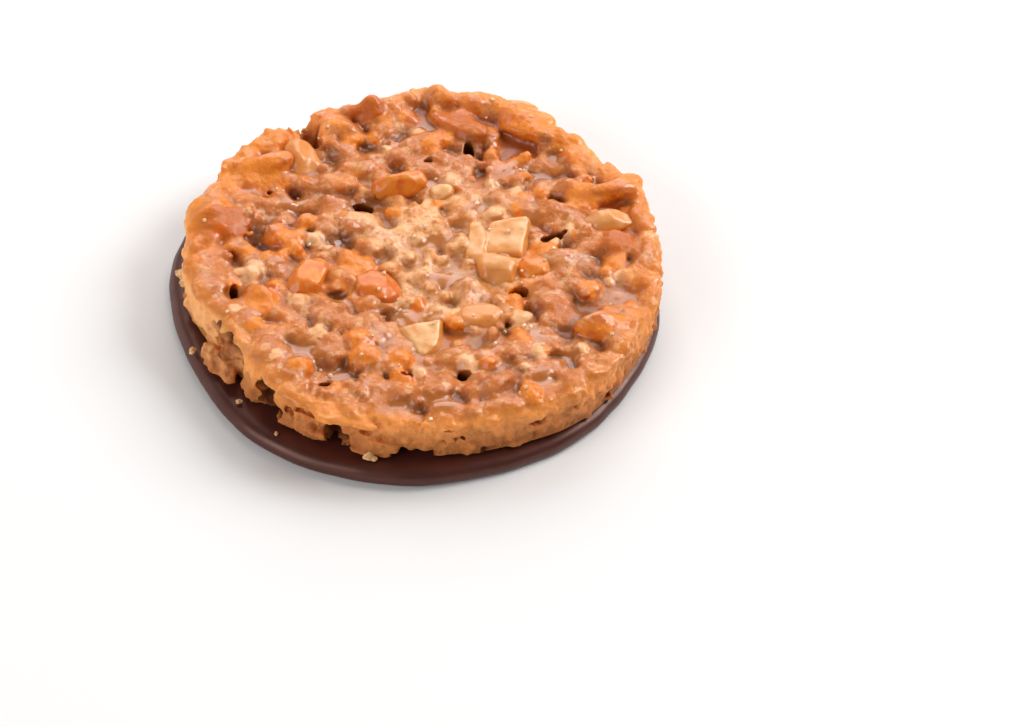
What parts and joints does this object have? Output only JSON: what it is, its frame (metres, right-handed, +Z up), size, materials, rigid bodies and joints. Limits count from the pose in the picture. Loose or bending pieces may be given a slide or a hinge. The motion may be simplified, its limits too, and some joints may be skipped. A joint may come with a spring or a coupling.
{
  "type": "florentine cookie",
  "caption": "Round florentine: a lumpy caramel and chopped nut biscuit with ragged holes, lying on a thin plate of dark chocolate that stands out as a ledge on one side.",
  "frame": {"origin": "on the surface that the florentine lies on, under the middle of its bounding box", "axes": "+Z up out of the nut side, through the thickness; the chocolate ledge is widest towards -X and -Y, the front-left of a viewer at -Y"},
  "size_m": [0.0588, 0.06, 0.0098],
  "materials": {
    "dark_chocolate": "satin dark chocolate with a soft sheen; stands in for food, not plastic",
    "caramel_nut_biscuit": "baked dough with chopped nuts under glossy caramel, pale cut nuts and scattered sugar; stands in for food, not plastic"
  },
  "bodies": {
    "root": {"chocolate_base": "dark_chocolate", "nut_biscuit": "caramel_nut_biscuit"}
  },
  "joints": []
}
